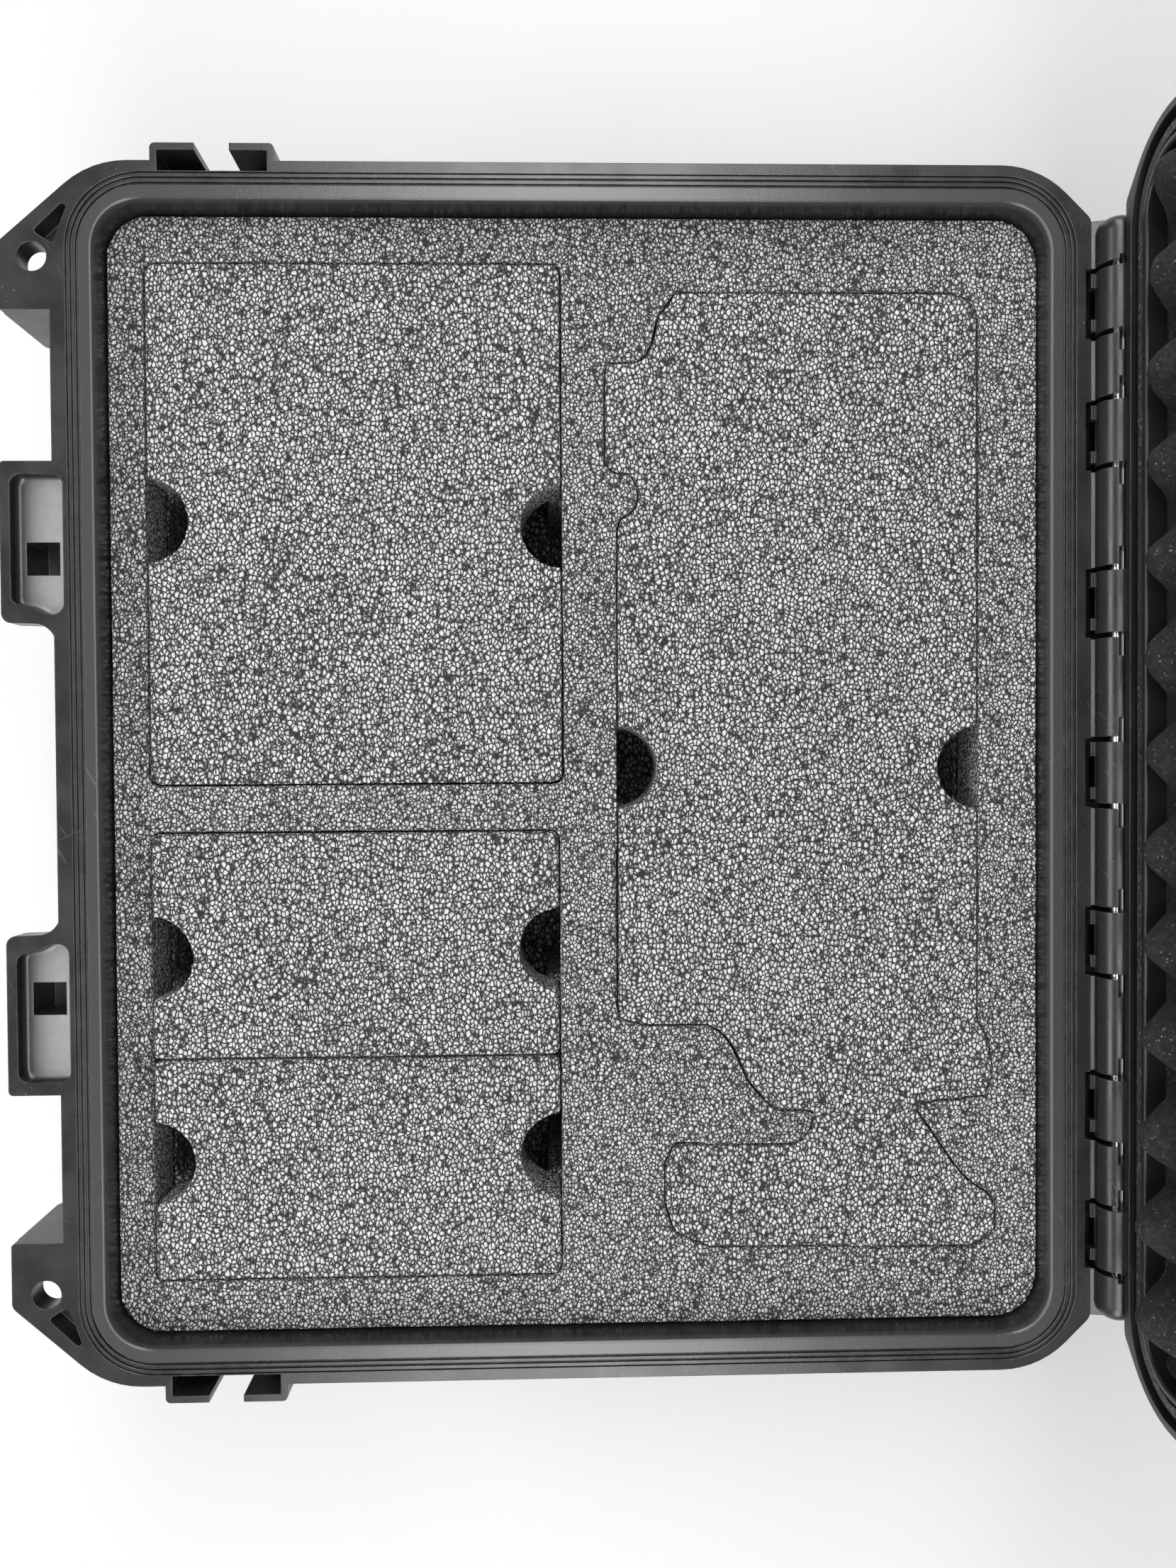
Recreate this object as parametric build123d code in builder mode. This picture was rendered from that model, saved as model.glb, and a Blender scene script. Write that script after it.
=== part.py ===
from build123d import *
import math
import os

os.makedirs("parts", exist_ok=True)

# ---------------------------------------------------------------- driving sizes (mm)
H = 116.0                 # height of the base rim plane above the floor
TUB_X = 185.5             # outer half width of the base tub
TUB_Y0, TUB_Y1 = -148.5, 162.0    # outer front and back of the tub
WALL = 3.5
IN_X = TUB_X - WALL       # inner half width
IN_Y0, IN_Y1 = TUB_Y0 + WALL, TUB_Y1 - WALL
IN_R = 15.0               # inner corner radius of the tub
IN_CY = (IN_Y0 + IN_Y1) / 2
IN_DY = IN_Y1 - IN_Y0
FL_X = 194.0              # half width over the rim flange
FL_Y0 = -158.5            # front edge of the base flange
FL_Y1 = 171.8             # back edge of the base flange
LID_Y1 = 171.0            # back edge of the lid flange, lid closed
FL_T = 4.0                # flange plate thickness
SKIRT_T = 3.6             # thickness of the down-turned edge
SKIRT_H = 6.0
LUG_Y = -174.8            # front of the padlock lugs and latch catches
LUG_T = 8.0
CORNER_R = 30.0           # rounding where the rim flange turns its corners
LOCK_X, LOCK_Y, LOCK_R = 164.0, -163.8, 4.6
CATCH_X0, CATCH_X1 = 49.2, 100.2  # latch catch, inner and outer ends
WIN_X, WIN_Y, WIN_W = 70.2, -163.3, 10.5  # square window in each catch
HINGE_Y, HINGE_Z = 179.5, H + 1.5
BARREL_R = 6.5
PIN_R = 2.0
PIN_LEN = 340.0
KNUCKLES = (-150.0, -108.0, -54.4, 0.0, 54.4, 108.0, 150.0)
KNUCKLE_L = 19.6
HINGE_HALF = 176.6
SEAM = 0.2                # gap between closed lid and base rims
LID_D = 40.0              # lid depth
LID_Z0 = H + SEAM
LID_Z1 = H + LID_D
FOAM_TOP = H - 10.0
FOAM_GAP = 0.3            # foam to shell
LAYER_SPLIT = 84.0        # top of the lower foam layer, where the covers rest
PAD_TOP = 15.0
SLIT = 0.4                # knife slit round each foam cover
NOTCH_R = 13.4
LEDGE = 5.0
LATCH_A = (-166.0, H + 22.0)      # link pivot on the lid (Y, Z), lid closed
LATCH_B = (-179.0, H - 5.0)       # lever pivot on the link (Y, Z), latched
LINK_OPEN, LEVER_OPEN, LID_OPEN = -95.0, -80.0, -90.0
HANDLE_Y, HANDLE_Z = -158.0, 93.0

# outline of the irregular cover over the drone's own compartment (X, Y)
DRONE = [(-153.3, 36.3), (-149.9, 33.3), (-141.8, 31.6), (-136.8, 29.2), (-135.4, 26.9),
         (-134.5, 16.5), (-130.3, 15.8), (-101.6, 15.6), (-100.0, 17.0), (-98.6, 19.7),
         (-98.6, 23.7), (-96.3, 25.5), (-92.4, 26.7), (-88.4, 25.9), (-85.4, 23.6),
         (-84.7, 20.8), (-80.8, 19.6), (76.1, 18.7), (80.7, 19.8), (82.8, 27.9),
         (83.0, 49.1), (85.9, 53.7), (90.6, 57.2), (101.3, 61.9), (104.3, 64.2),
         (108.4, 67.7), (111.3, 71.3), (112.2, 84.2), (116.9, 83.1), (121.6, 79.5),
         (122.6, 74.8), (121.8, 37.2), (125.0, 35.8), (128.5, 34.0), (142.1, 34.0),
         (151.3, 37.1), (156.6, 48.7), (158.1, 136.5), (153.5, 144.6), (143.9, 144.9),
         (139.8, 142.3), (136.1, 136.5), (131.2, 131.8), (112.0, 118.8), (109.9, 120.0),
         (109.2, 124.7), (107.7, 141.3), (101.9, 143.7), (90.0, 143.2), (81.8, 138.9),
         (-149.9, 139.0), (-155.4, 136.4), (-157.8, 129.9), (-157.5, 38.8)]
COVERS = {
    "square": (-166.6, 2.4, -133.0, 1.8),
    "mid": (17.7, 92.1, -133.2, 0.3),
    "low": (92.1, 164.9, -133.2, 0.3),
}
NOTCHES = {
    "square": ((-83.6, -133.0), (-81.5, 1.8)),
    "mid": ((58.7, -133.2), (57.0, 0.3)),
    "low": ((126.2, -133.2), (124.9, 0.3)),
    "drone": ((-2.6, 19.1), (-1.9, 138.9)),
}


def hinge_turn(shape, angle, yz):
    """Turn a finished shape about an axis along X through (Y, Z)."""
    return shape.rotate(Axis((0, yz[0], yz[1]), (1, 0, 0)), angle)


# ---------------------------------------------------------------- base shell
with BuildPart() as tub_void:
    with BuildSketch(Plane.XY.offset(WALL)):
        with Locations((0, IN_CY)):
            RectangleRounded(2 * IN_X, IN_DY, IN_R)
    extrude(amount=H)
    fillet(tub_void.edges().filter_by(Plane.XY).group_by(Axis.Z)[0], 7.0)

with BuildPart() as base_shell:
    # tub
    with BuildSketch(Plane.XY):
        with Locations((0, (TUB_Y0 + TUB_Y1) / 2)):
            RectangleRounded(2 * TUB_X, TUB_Y1 - TUB_Y0, IN_R + WALL)
    extrude(amount=H)
    fillet(base_shell.edges().filter_by(Plane.XY).group_by(Axis.Z)[0], 10.0)
    # down-turned edge under the flange
    with BuildSketch(Plane.XY.offset(H - FL_T - SKIRT_H)):
        with BuildLine():
            Polyline((-177.2, FL_Y1), (-185.3, 163.5), (-191.8, 153.5), (-FL_X, 142.6), (-FL_X, -134.0), (-192.0, -144.3), (-187.2, -152.5), (-182, FL_Y0),
                     (182, FL_Y0), (187.2, -152.5), (192.0, -144.3), (FL_X, -134.0), (FL_X, 142.6), (191.8, 153.5), (185.3, 163.5), (177.2, FL_Y1), close=True)
        make_face()
        with Locations((0, IN_CY)):
            RectangleRounded(2 * (IN_X + 3), IN_DY + 6, IN_R + 3, mode=Mode.SUBTRACT)
        with BuildLine(mode=Mode.PRIVATE) as skirt_in:
            Polyline((-175.5, FL_Y1 - SKIRT_T), (-182.3, 161.2), (-188.4, 151.8), (-190.4, 141.5), (-190.4, -133.5), (-188.5, -143.2), (-184.2, -150.4), (-180.0, FL_Y0 + SKIRT_T),
                     (180.0, FL_Y0 + SKIRT_T), (184.2, -150.4), (188.5, -143.2), (190.4, -133.5), (190.4, 141.5), (188.4, 151.8), (182.3, 161.2), (175.5, FL_Y1 - SKIRT_T), close=True)
        with BuildSketch(mode=Mode.PRIVATE) as skirt_gap:
            add(make_face(skirt_in.line, mode=Mode.PRIVATE))
            with Locations((0, (TUB_Y0 + TUB_Y1) / 2)):
                RectangleRounded(2 * (TUB_X - 1), TUB_Y1 - TUB_Y0 - 2, IN_R + WALL - 1, mode=Mode.SUBTRACT)
        add(skirt_gap.sketch, mode=Mode.SUBTRACT)
    extrude(amount=SKIRT_H)
    # flange plate
    with BuildSketch(Plane.XY.offset(H - FL_T)):
        with BuildLine():
            Polyline((-FL_X, 155.0), (-FL_X, -145), (-168, LUG_Y), (-147.5, LUG_Y), (-147.5, FL_Y0),
                     (147.5, FL_Y0), (147.5, LUG_Y), (168, LUG_Y), (FL_X, -145), (FL_X, 155.0),
                     (177.2, FL_Y1), (-177.2, FL_Y1), close=True)
        make_face()
        fl = vertices()
        fillet(fl.filter_by(lambda v: abs(abs(v.X) - FL_X) < 0.1), CORNER_R)
        fillet(vertices().filter_by(lambda v: abs(v.Y - LUG_Y) < 0.1 and abs(v.X) > 160), 3.0)
        fillet(vertices().filter_by(lambda v: abs(v.Y - LUG_Y) < 0.1 and abs(v.X) < 150), 1.2)
        fillet(vertices().filter_by(lambda v: abs(v.Y - FL_Y1) < 0.1), 4.0)
    extrude(amount=FL_T)
    # thicker padlock lugs with a brace running down into the front wall
    with BuildSketch(Plane.XY.offset(H - LUG_T)):
        for s in (-1, 1):
            with BuildLine():
                Polyline((s * 147.5, LUG_Y), (s * 168, LUG_Y), (s * 188, -152), (s * 182, -150), (s * 147.5, -150), close=True)
            make_face()
            fillet(vertices().filter_by(lambda v: abs(v.Y - LUG_Y) < 0.1 and abs(v.X) > 160 and v.X * s > 0), 3.0)
            fillet(vertices().filter_by(lambda v: abs(v.Y - LUG_Y) < 0.1 and abs(v.X) < 150 and v.X * s > 0), 1.2)
    extrude(amount=LUG_T - 0.5)
    for s in (-1, 1):
        with BuildSketch(Plane.YZ.offset(s * 151.0)):
            with BuildLine():
                Polyline((-174.3, H - 4), (-174.3, H - 34), (TUB_Y0 + 1, H - 72), (TUB_Y0 + 1, H - 4), close=True)
            make_face()
        extrude(amount=3.5, both=True)
    # latch catches
    for s in (-1, 1):
        with BuildSketch(Plane.XY.offset(H - LUG_T)):
            with BuildLine():
                l1 = Polyline((s * 41.0, -150), (s * CATCH_X1, -150), (s * CATCH_X1, LUG_Y - 0.1), (s * 52.5, LUG_Y - 0.1))
                l2 = TangentArc(l1 @ 1, (s * 49.4, -171.6), tangent=(-s, 0))
                l3 = Line(l2 @ 1, (s * 49.2, -165.0))
                l4 = TangentArc(l3 @ 1, (s * 41.0, -157.8), tangent=(0, 1))
                Line(l4 @ 1, l1 @ 0)
            make_face()
            fillet(vertices().filter_by(lambda v: abs(v.Y - (LUG_Y - 0.1)) < 0.2 and abs(v.X) > 90 and v.X * s > 0), 1.5)
        extrude(amount=LUG_T)
        # closed socket under the square window
        with BuildSketch(Plane.XY.offset(H - 22.5)):
            with Locations((s * WIN_X, WIN_Y)):
                RectangleRounded(WIN_W + 4.0, WIN_W + 4.0, 1.5)
        extrude(amount=15.5)
        # two braces under each catch
        for bx in (79.0, 97.0):
            with BuildSketch(Plane.YZ.offset(s * bx)):
                with BuildLine():
                    Polyline((-170.0, H - 7), (TUB_Y0 + 1, H - 36), (TUB_Y0 + 1, H - 7), close=True)
                make_face()
            extrude(amount=1.5, both=True)
    # strap anchors on the two sides, near the front
    for s in (-1, 1):
        with BuildSketch(Plane.XY.offset(H - 42)):
            with Locations((s * (TUB_X + 6.5), -107.4)):
                RectangleRounded(15.0, 38.8, 1.6)
            with Locations((s * 195.4, -107.5)):
                Rectangle(3.9, 11.0 + 0.001, mode=Mode.SUBTRACT)
        extrude(amount=42)
    # upright ribs on the side and back walls
    with BuildSketch(Plane.XY.offset(16)):
        for s in (-1, 1):
            with Locations(*[(s * (TUB_X + 1.5), y) for y in (-60.0, -20.0, 20.0, 60.0, 100.0)]):
                Rectangle(6.0, 4.0)
        with Locations(*[(x, TUB_Y1 + 1.5) for x in (-140.0, -84.0, -28.0, 28.0, 84.0, 140.0)]):
            Rectangle(4.0, 6.0)
    extrude(amount=H - FL_T - 16)
    # closing shelf below the hinge line
    with BuildSketch(Plane.XY.offset(H - 11.4)):
        with Locations((0, 178.75)):
            Rectangle(352.0, 21.5)
    extrude(amount=2.8)
    # handle brackets on the front wall
    for s in (-1, 1):
        with BuildSketch(Plane.YZ.offset(s * 58.0)):
            with BuildLine():
                Polyline((TUB_Y0 + 1, HANDLE_Z + 12), (HANDLE_Y, HANDLE_Z + 6), (HANDLE_Y, HANDLE_Z - 6), (TUB_Y0 + 1, HANDLE_Z - 14), close=True)
            make_face()
            with Locations((HANDLE_Y, HANDLE_Z)):
                Circle(6.0)
        extrude(amount=2.5, both=True)
    # hollow
    add(tub_void.part, mode=Mode.SUBTRACT)
    # strap anchor channels: open at the top and towards the gap between the ears
    with BuildSketch(Plane.XY.offset(H)):
        for s in (-1, 1):
            with Locations((s * 194.05, -107.4)):
                Rectangle(6.5, 34.4)
            with Locations((s * 196.0, -107.5)):
                Rectangle(10.4, 11.0)
    extrude(amount=-36, mode=Mode.SUBTRACT)
    with BuildSketch(Plane.XY.offset(H)):
        for s in (-1, 1):
            with Locations((s * 196.0, -107.5)):
                Rectangle(10.4, 11.0)
    extrude(amount=-60, mode=Mode.SUBTRACT)
    # rim ridges: three fine grooves following the opening
    for d0, d1 in ((4.4, 5.3), (6.2, 7.0), (8.0, 8.5)):
        with BuildSketch(Plane.XY.offset(H)):
            with Locations((0, IN_CY)):
                RectangleRounded(2 * IN_X + 2 * d1, IN_DY + 2 * d1, IN_R + d1)
                RectangleRounded(2 * IN_X + 2 * d0, IN_DY + 2 * d0, IN_R + d0, mode=Mode.SUBTRACT)
        extrude(amount=-1.0, mode=Mode.SUBTRACT)
    # padlock holes and the triangular pockets behind them
    with Locations((LOCK_X, LOCK_Y, H), (-LOCK_X, LOCK_Y, H)):
        Hole(radius=LOCK_R, depth=LUG_T + 2)
    for s in (-1, 1):
        with BuildSketch(Plane.XY.offset(H)):
            with BuildLine():
                Polyline((s * 171.9, -163.4), (s * 168.0, -157.2), (s * 183.2, -151.6), close=True)
            make_face()
            fillet(vertices(), 1.0)
        extrude(amount=-7.0, mode=Mode.SUBTRACT)
    # latch catch pockets with a square window
    for s in (-1, 1):
        with BuildSketch(Plane.XY.offset(H)):
            with BuildLine():
                p1 = Polyline((s * 96.2, -155.3), (s * 96.2, -171.7), (s * 58.0, -171.7))
                p2 = TangentArc(p1 @ 1, (s * 55.2, -169.0), tangent=(-s, 0))
                p3 = Line(p2 @ 1, (s * 54.6, -166.0))
                p4 = Spline(p3 @ 1, (s * 52.6, -161.8), (s * 52.0, -159.0), tangents=((s * -0.2, 1.0), (0, 1)))
                p5 = TangentArc(p4 @ 1, (s * 55.6, -155.3), tangent=(0, 1))
                Line(p5 @ 1, p1 @ 0)
            make_face()
            fillet(vertices().filter_by(lambda v: abs(v.X) > 95 and v.X * s > 0), 3.5)
        extrude(amount=-4.5, mode=Mode.SUBTRACT)
    fillet(base_shell.edges().filter_by(Plane.XY).filter_by(
        lambda e: abs(e.center().Z - H + 4.5) < 0.01 and 51 < abs(e.center().X) < 97 and -172 < e.center().Y < -155), 1.8)
    for s in (-1, 1):
        with BuildSketch(Plane.XY.offset(H)):
            with Locations((s * WIN_X, WIN_Y)):
                Rectangle(WIN_W, WIN_W)
        extrude(amount=-20.5, mode=Mode.SUBTRACT)
    # hinge: shells between the lid knuckles, joined to the flange edge
    ends = [-HINGE_HALF] + [k for c in KNUCKLES for k in (c - KNUCKLE_L / 2, c + KNUCKLE_L / 2)] + [HINGE_HALF]
    for i in range(0, len(ends), 2):
        xa, xb = ends[i], ends[i + 1]
        ga = 0.0 if i == 0 else 1.7
        gb = 0.0 if i + 2 == len(ends) else 1.7
        lo, hi = xa + ga, xb - gb
        with BuildSketch(Plane.YZ.offset(lo)):
            with Locations((HINGE_Y, HINGE_Z)):
                Circle(BARREL_R)
            with BuildLine():
                Polyline((FL_Y1 - 1, H - 9.5), (HINGE_Y - 4, H - 4.5), (HINGE_Y, HINGE_Z - 2.0), (HINGE_Y - 5.0, HINGE_Z - 1.5),
                         (FL_Y1 - 1, H - 0.8), close=True)
            make_face()
        extrude(amount=hi - lo)
    # rounded outer ends of the two hinge caps
    fillet(base_shell.edges().filter_by(GeomType.CIRCLE).filter_by(lambda e: abs(abs(e.center().X) - HINGE_HALF) < 0.05 and e.center().Y > 175), 5.0)
    # pin bore, blind at both ends
    with BuildSketch(Plane.YZ.offset(-PIN_LEN / 2 - 0.2)):
        with Locations((HINGE_Y, HINGE_Z)):
            Circle(PIN_R + 0.04)
    extrude(amount=PIN_LEN + 0.4, mode=Mode.SUBTRACT)
    # windows beside each lid knuckle, where only the front half of the shell is left
    win = []
    for i in range(0, len(ends), 2):
        xa, xb = ends[i], ends[i + 1]
        full = 8.2 if (xb - xa) < 25 else 19.5
        mid_x = (xa + xb) / 2
        if i == 0:
            win.append((xb - 3.2, xb))
        elif i + 2 == len(ends):
            win.append((xa, xa + 3.2))
        else:
            win += [(xa, mid_x - full / 2), (mid_x + full / 2, xb)]
    with BuildSketch(Plane.XY.offset(HINGE_Z - 10)):
        for wa, wb in win:
            with Locations(((wa + wb) / 2, HINGE_Y + 3.0)):
                Rectangle(wb - wa, 10.2)
    extrude(amount=20, mode=Mode.SUBTRACT)
    # clearance notches in the flange in front of each lid knuckle
    with BuildSketch(Plane.XY.offset(H + 1)):
        for c in KNUCKLES:
            with Locations((c, 173.1)):
                Rectangle(KNUCKLE_L + 2.6, 6.2)
    extrude(amount=-9.2, mode=Mode.SUBTRACT)
    # holes for the handle pins, the valve and the moulded recess under the floor
    for s in (-1, 1):
        with BuildSketch(Plane.YZ.offset(s * 54.0)):
            with Locations((HANDLE_Y, HANDLE_Z)):
                Circle(2.54)
        extrude(amount=s * 8.0, mode=Mode.SUBTRACT)
    with BuildSketch(Plane.XZ.offset(-TUB_Y0 - 6)):
        with Locations((0, 72.0)):
            Circle(7.05)
    extrude(amount=8, mode=Mode.SUBTRACT)
    with BuildSketch(Plane.XY):
        with Locations((0, (TUB_Y0 + TUB_Y1) / 2)):
            RectangleRounded(320, 256, 16)
            RectangleRounded(304, 240, 12, mode=Mode.SUBTRACT)
    extrude(amount=1.0, mode=Mode.SUBTRACT)
    # rounded inner edge of the opening
    rim_edges = base_shell.edges().filter_by(Plane.XY).filter_by(
        lambda e: abs(e.center().Z - H) < 0.01 and e.bounding_box().max.X <= IN_X + 0.01 and e.bounding_box().min.X >= -IN_X - 0.01
        and e.bounding_box().max.Y <= IN_Y1 + 0.01 and e.bounding_box().min.Y >= IN_Y0 - 0.01)
    fillet(rim_edges, 1.0)
base_shell.part.label = "base_shell"
export_step(base_shell.part, "parts/base_shell.step")
print("base ok", base_shell.part.is_valid, len(base_shell.part.solids()))

# ---------------------------------------------------------------- hinge pin
with BuildPart() as hinge_pin:
    with BuildSketch(Plane.YZ.offset(-PIN_LEN / 2)):
        with Locations((HINGE_Y, HINGE_Z)):
            Circle(PIN_R)
    extrude(amount=PIN_LEN)
    chamfer(hinge_pin.edges().filter_by(GeomType.CIRCLE), 0.4)
hinge_pin.part.label = "hinge_pin"
export_step(hinge_pin.part, "parts/hinge_pin.step")

# ---------------------------------------------------------------- base foam
with BuildPart() as foam_base_pad:
    with BuildSketch(Plane.XY.offset(WALL + 0.2)):
        with Locations((0, IN_CY)):
            RectangleRounded(2 * (IN_X - 7.2), IN_DY - 14.4, IN_R - 7.0)
    extrude(amount=PAD_TOP - WALL - 0.3)
foam_base_pad.part.label = "foam_base_pad"
export_step(foam_base_pad.part, "parts/foam_base_pad.step")

with BuildPart() as foam_lower_layer:
    with BuildSketch(Plane.XY.offset(PAD_TOP)):
        with Locations((0, IN_CY)):
            RectangleRounded(2 * (IN_X - FOAM_GAP), IN_DY - 2 * FOAM_GAP, IN_R - FOAM_GAP)
    extrude(amount=LAYER_SPLIT - PAD_TOP)
    with BuildSketch(Plane.XY.offset(PAD_TOP)):
        for x0, x1, y0, y1 in COVERS.values():
            with Locations(((x0 + x1) / 2, (y0 + y1) / 2)):
                RectangleRounded(x1 - x0 - 2 * LEDGE, y1 - y0 - 2 * LEDGE, 4.0)
        with BuildSketch(mode=Mode.PRIVATE) as drone_ring:
            with BuildLine():
                Polyline(*DRONE, close=True)
            make_face()
            offset(amount=-LEDGE, kind=Kind.INTERSECTION)
        add(drone_ring.sketch)
    extrude(amount=LAYER_SPLIT - PAD_TOP, mode=Mode.SUBTRACT)
    # the finger notches carry on down through the ledge that the covers rest on
    with BuildSketch(Plane.XY.offset(PAD_TOP)):
        for x0, x1, y0, y1 in COVERS.values():
            with Locations(((x0 + x1) / 2, (y0 + y1) / 2)):
                RectangleRounded(x1 - x0, y1 - y0, 3.0)
        with BuildLine():
            Polyline(*DRONE, close=True)
        make_face()
        with BuildSketch(mode=Mode.PRIVATE) as notch_discs:
            for pair in NOTCHES.values():
                with Locations(*pair):
                    Circle(NOTCH_R)
        add(notch_discs.sketch, mode=Mode.INTERSECT)
    extrude(amount=LAYER_SPLIT - PAD_TOP, mode=Mode.SUBTRACT)
foam_lower_layer.part.label = "foam_lower_layer"
export_step(foam_lower_layer.part, "parts/foam_lower_layer.step")
print("lower", foam_lower_layer.part.is_valid, len(foam_lower_layer.part.solids()))

with BuildPart() as foam_top_layer:
    with BuildSketch(Plane.XY.offset(LAYER_SPLIT + 0.1)):
        with Locations((0, IN_CY)):
            RectangleRounded(2 * (IN_X - FOAM_GAP), IN_DY - 2 * FOAM_GAP, IN_R - FOAM_GAP)
        x0, x1, y0, y1 = COVERS["square"]
        with Locations(((x0 + x1) / 2, (y0 + y1) / 2)):
            RectangleRounded(x1 - x0, y1 - y0, 3.0, mode=Mode.SUBTRACT)
        x0, x1, y0, y1 = COVERS["mid"]
        x2, x3, y2, y3 = COVERS["low"]
        with Locations(((x0 + x3) / 2, (y0 + y1) / 2)):
            RectangleRounded(x3 - x0, y1 - y0, 3.0, mode=Mode.SUBTRACT)
        with BuildLine():
            Polyline(*DRONE, close=True)
        make_face(mode=Mode.SUBTRACT)
    extrude(amount=FOAM_TOP - LAYER_SPLIT - 0.1)
foam_top_layer.part.label = "foam_top_layer"
export_step(foam_top_layer.part, "parts/foam_top_layer.step")
print("top", foam_top_layer.part.is_valid, len(foam_top_layer.part.solids()))

# ---------------------------------------------------------------- lift-out covers with finger notches
COVER_H = FOAM_TOP - LAYER_SPLIT - 0.1
with BuildPart() as cover_square:
    x0, x1, y0, y1 = COVERS["square"]
    with BuildSketch(Plane.XY.offset(LAYER_SPLIT + 0.1)):
        with Locations(((x0 + x1) / 2, (y0 + y1) / 2)):
            RectangleRounded(x1 - x0 - 2 * SLIT, y1 - y0 - 2 * SLIT, 3.0)
        with Locations(*NOTCHES["square"]):
            Circle(NOTCH_R, mode=Mode.SUBTRACT)
    extrude(amount=COVER_H)
cover_square.part.label = "cover_square"
export_step(cover_square.part, "parts/cover_square.step")

with BuildPart() as cover_mid:
    x0, x1, y0, y1 = COVERS["mid"]
    with BuildSketch(Plane.XY.offset(LAYER_SPLIT + 0.1)):
        with Locations(((x0 + SLIT + x1 - SLIT / 2) / 2, (y0 + y1) / 2)):
            RectangleRounded(x1 - x0 - 1.5 * SLIT, y1 - y0 - 2 * SLIT, 2.5)
        with Locations(*NOTCHES["mid"]):
            Circle(NOTCH_R, mode=Mode.SUBTRACT)
    extrude(amount=COVER_H)
cover_mid.part.label = "cover_mid"
export_step(cover_mid.part, "parts/cover_mid.step")

with BuildPart() as cover_low:
    x0, x1, y0, y1 = COVERS["low"]
    with BuildSketch(Plane.XY.offset(LAYER_SPLIT + 0.1)):
        with Locations(((x0 + SLIT / 2 + x1 - SLIT) / 2, (y0 + y1) / 2)):
            RectangleRounded(x1 - x0 - 1.5 * SLIT, y1 - y0 - 2 * SLIT, 2.5)
        with Locations(*NOTCHES["low"]):
            Circle(NOTCH_R, mode=Mode.SUBTRACT)
    extrude(amount=COVER_H)
cover_low.part.label = "cover_low"
export_step(cover_low.part, "parts/cover_low.step")

with BuildPart() as cover_drone:
    with BuildSketch(Plane.XY.offset(LAYER_SPLIT + 0.1)):
        with BuildLine():
            Polyline(*DRONE, close=True)
        make_face()
        offset(amount=-SLIT, kind=Kind.INTERSECTION)
        with Locations(*NOTCHES["drone"]):
            Circle(NOTCH_R, mode=Mode.SUBTRACT)
    extrude(amount=COVER_H)
cover_drone.part.label = "cover_drone"
export_step(cover_drone.part, "parts/cover_drone.step")
print("covers", [(p.part.is_valid, len(p.part.solids())) for p in (cover_square, cover_mid, cover_low, cover_drone)])

# ---------------------------------------------------------------- lid shell, drawn closed and then stood open
with BuildPart() as lid_void:
    with BuildSketch(Plane.XY.offset(LID_Z0 - 1)):
        with Locations((0, IN_CY)):
            RectangleRounded(2 * IN_X, IN_DY, IN_R)
    extrude(amount=LID_Z1 - WALL - LID_Z0 + 1)
    fillet(lid_void.edges().filter_by(Plane.XY).group_by(Axis.Z)[-1], 7.0)

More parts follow.
